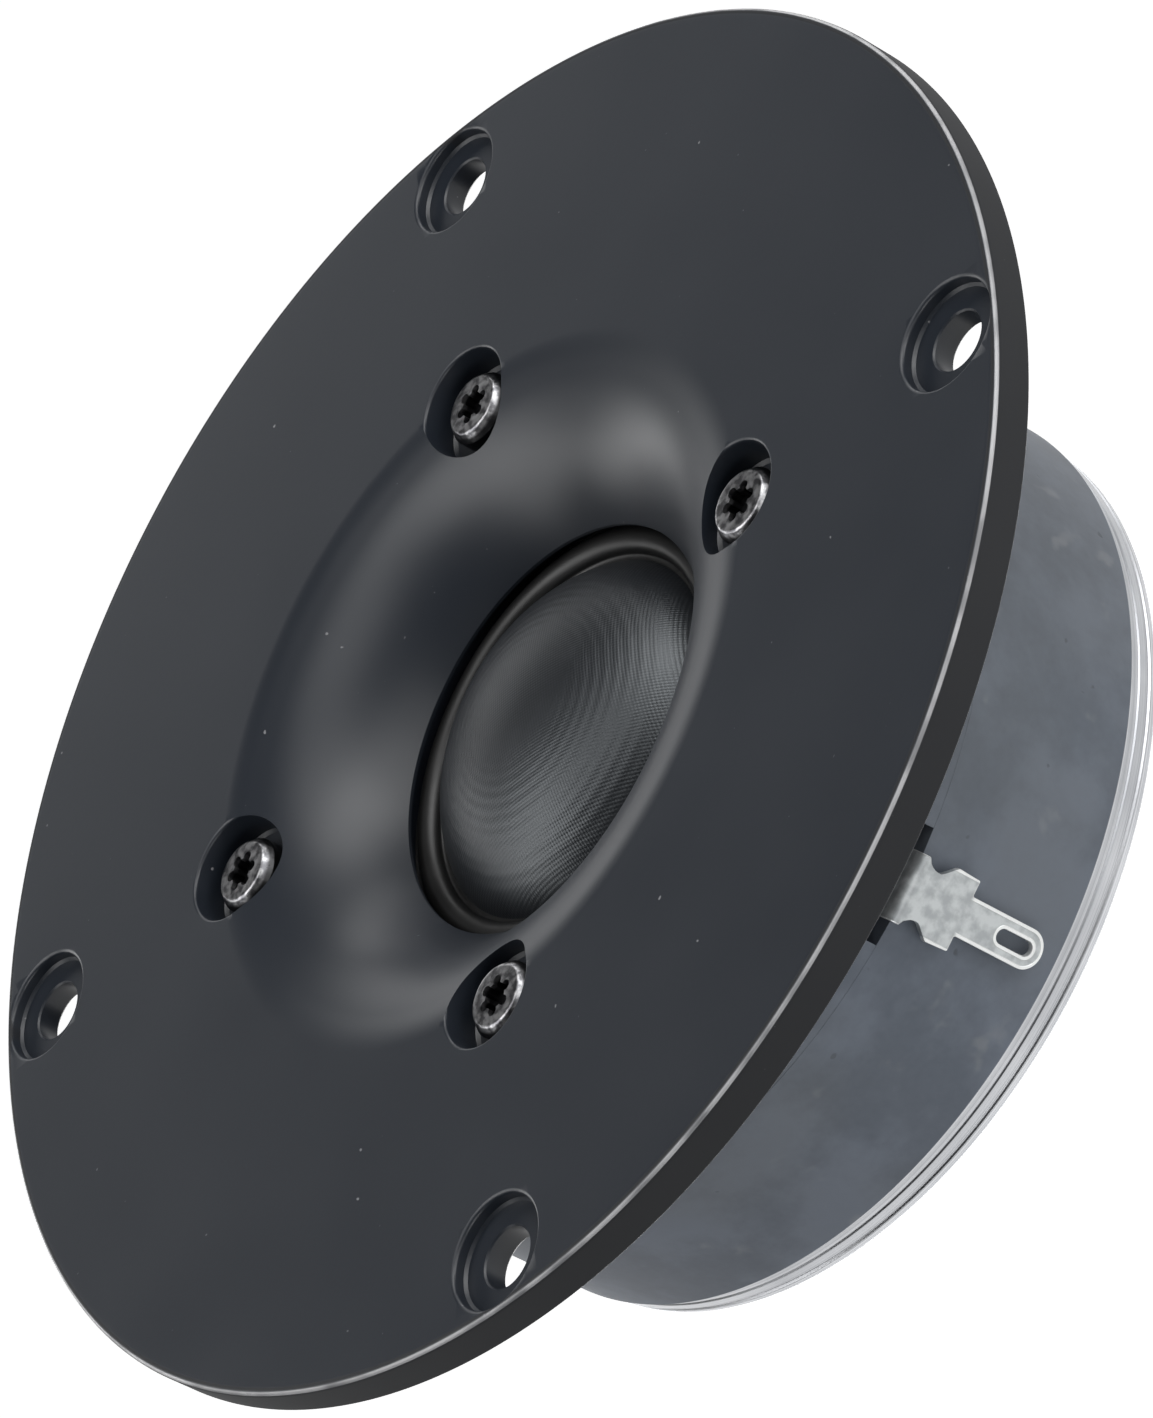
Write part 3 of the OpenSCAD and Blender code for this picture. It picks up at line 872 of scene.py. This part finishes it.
def tinned_sheet():
    """Dull tin with the stamping ridge along the edges and round the eye; its pale colour is a painted
    highlight.
    """
    s = Sheet("tinned_sheet")
    x, _, z = s.axes()
    below = (EYE_LOW * MM - z).math("MAXIMUM", 0.0)
    above = (z - EYE_HIGH * MM).math("MAXIMUM", 0.0)
    from_arm = (x * x + below * below).math("SQRT")
    from_eye = (x * x + below * below + above * above).math("SQRT")
    arm_edge = s.ramp(from_arm, (TAB_W / 2 - 0.3) * MM, (TAB_W / 2 - 0.2) * MM)
    arm_part = 1 - s.ramp(z, (magnet_top - 4.6) * MM, (magnet_top - 4.2) * MM)
    eye_edge = 1 - s.ramp(from_eye, (EYE_W / 2 + 0.2) * MM, (EYE_W / 2 + 0.3) * MM)
    shoulder = SHOULDER_W / 2
    shoulder_edge = s.ramp(x * x, ((shoulder - 0.3) * MM) ** 2, ((shoulder - 0.2) * MM) ** 2)
    # the ridge along the edges and the eye: a real bump, and in colour a painted highlight
    burr_and_glint = (arm_edge * arm_part).math("MAXIMUM", eye_edge).math("MAXIMUM", shoulder_edge)
    blotch = s.ramp(s.noise(900, detail=4), 0.35, 0.65)
    colour = s.mix(blotch, rgb(0.36, 0.38, 0.39), rgb(0.54, 0.565, 0.57))
    # painted highlight: the edges and the eye's rim are painted pale
    colour = s.mix(burr_and_glint * 0.8, colour, rgb(0.88, 0.89, 0.88))
    return s.finish(Base_Color=colour, Metallic=0.75, Roughness=0.42 + 0.1 * blotch,
                    Normal=s.bump(burr_and_glint + blotch * 0.15, 0.0001, 0.7))


def dark_chrome():
    """Grained chrome on the top land, painted near black as shade in the drive and down the sides."""
    s = Sheet("dark_chrome")
    _, _, z = s.axes()
    grain = s.noise(1500, detail=4)
    land = s.ramp(z, (head_top - 0.5) * MM, (head_top - 0.25) * MM)
    grained_land = s.mix(s.ramp(grain, 0.38, 0.62), rgb(0.16, 0.16, 0.17), rgb(0.46, 0.46, 0.47))
    # painted shade: below the land, the drive and the head's sides are near black
    colour = s.mix(land, rgb(0.05, 0.05, 0.052), grained_land)
    return s.finish(Base_Color=colour, Metallic=1.0, Roughness=0.22 + 0.2 * grain,
                    Normal=s.bump(grain, 0.00008, 0.6))


solder = metal("solder", (0.62, 0.62, 0.60), (0.74, 0.74, 0.72), 0.3, 500)
steel = metal("turned_steel", (0.42, 0.42, 0.43), (0.55, 0.55, 0.56), 0.35)
copper = metal("copper", (0.62, 0.30, 0.16), (0.78, 0.42, 0.25), 0.3)
alloy = metal("aluminium", (0.62, 0.62, 0.63), (0.75, 0.75, 0.76), 0.35)
enamel = metal("enamelled_copper", (0.38, 0.14, 0.06), (0.5, 0.2, 0.09), 0.28, 1500)
moulded = plain("black_moulding", (0.012, 0.012, 0.013), (0.02, 0.02, 0.022), 0.55)
film = plain("film", (0.45, 0.24, 0.06), (0.6, 0.36, 0.1), 0.35)
foam = plain("foam", (0.02, 0.02, 0.02), (0.035, 0.035, 0.035), 0.85, 2500, 0.8)
felt = plain("felt", (0.16, 0.155, 0.14), (0.26, 0.25, 0.23), 0.9, 1800, 0.9)

paint([bpy.data.objects["screws"]], dark_chrome())
paint(terminals, tinned_sheet())
paint([bpy.data.objects["carrier_ring"]], moulded)
paint(loops + ["lead_wires"], copper)
paint(["locating_pins", "pole_piece"], steel)
paint(["copper_cap"], copper)
paint(["solder_joints"], solder)
paint(["shorting_ring"], alloy)
paint(["coil_winding", "coil_leads"], enamel)
paint(["coil_former"], film)
paint(["clamp_gasket"], foam)
paint(["pole_felt", "cavity_felt"], felt)
print("materials:", sorted(m.name for m in bpy.data.materials))

# %% [markdown]
# ## The studio
#
# On a satin black part it is the reflections of the lights that show, more than their brightness, so the
# tweeter stands in a dark room inside a ring of soft boxes. The low ring draws the edges and the motor,
# the boxes above it shape the slope of the horn and the dome, and one weak box under the rear keeps the
# back from going black. The floor is burnt out, as a white table's is, and shows again in the metal that
# faces it, but it casts no soft light of its own. The world is white to the camera only, so the blacks
# stay deep.

# %% Floor and world
def floor(depth=800, reach=4000):
    bm = bmesh.new()
    bmesh.ops.create_grid(bm, x_segments=1, y_segments=1, size=reach)
    bmesh.ops.translate(bm, vec=(0, 0, -depth), verts=bm.verts)
    obj = solid("floor", bm)
    s = Sheet("pale_floor")
    paint([obj], s.finish(Base_Color=rgb(0.8, 0.8, 0.8), Roughness=0.9, Emission_Color=rgb(1, 1, 1),
                          Emission_Strength=1.0))
    obj.visible_diffuse = False
    return obj


world = bpy.data.worlds.new("studio")
scene.world = world
world.use_nodes = True
world.node_tree.nodes["Background"].inputs["Color"].default_value = rgb(1, 1, 1)
world.cycles_visibility.diffuse = False
world.cycles_visibility.glossy = False
scene.view_settings.view_transform = "Standard"
print("floor at", round(floor().bound_box[0][2], 2), "m")


# %% Soft boxes
def softbox(name, azimuth, elevation, power, size=(360, 260), distance=600):
    """An area light at an azimuth from +X and an elevation, facing the tweeter; sizes in millimetres."""
    data = bpy.data.lights.new(name, "AREA")
    data.shape = "RECTANGLE"
    data.size, data.size_y = size[0] * MM, size[1] * MM
    data.energy = power
    light = bpy.data.objects.new(name, data)
    a, e = radians(azimuth), radians(elevation)
    place = Vector((cos(a) * cos(e), sin(a) * cos(e), sin(e))) * distance + Vector((0, 0, face_z))
    facing = place.to_track_quat("Z", "Y").to_matrix().to_4x4()
    light.matrix_world = Matrix.Translation(place * MM) @ facing
    scene.collection.objects.link(light)


softbox("front_left", 240, 10, 1.1)
softbox("front", 280, 10, 0.4)
softbox("front_right", 320, 10, 1.6)
softbox("right", 40, 10, 0.65)
softbox("rear_right", 80, 10, 0.43)
softbox("rear_left", 120, 10, 0.9)
softbox("upper_right", 0, 38, 1.1)
softbox("upper_front_right", 335, 38, 0.6)
softbox("upper_front", 300, 38, 0.45)
softbox("upper_left", 155, 38, 0.85)
softbox("high_left", 144, 60, 1.0)
softbox("high_right", 0, 60, 0.6)
softbox("overhead", 0, 89, 0.65)
softbox("under_rear", 90, -50, 0.8)
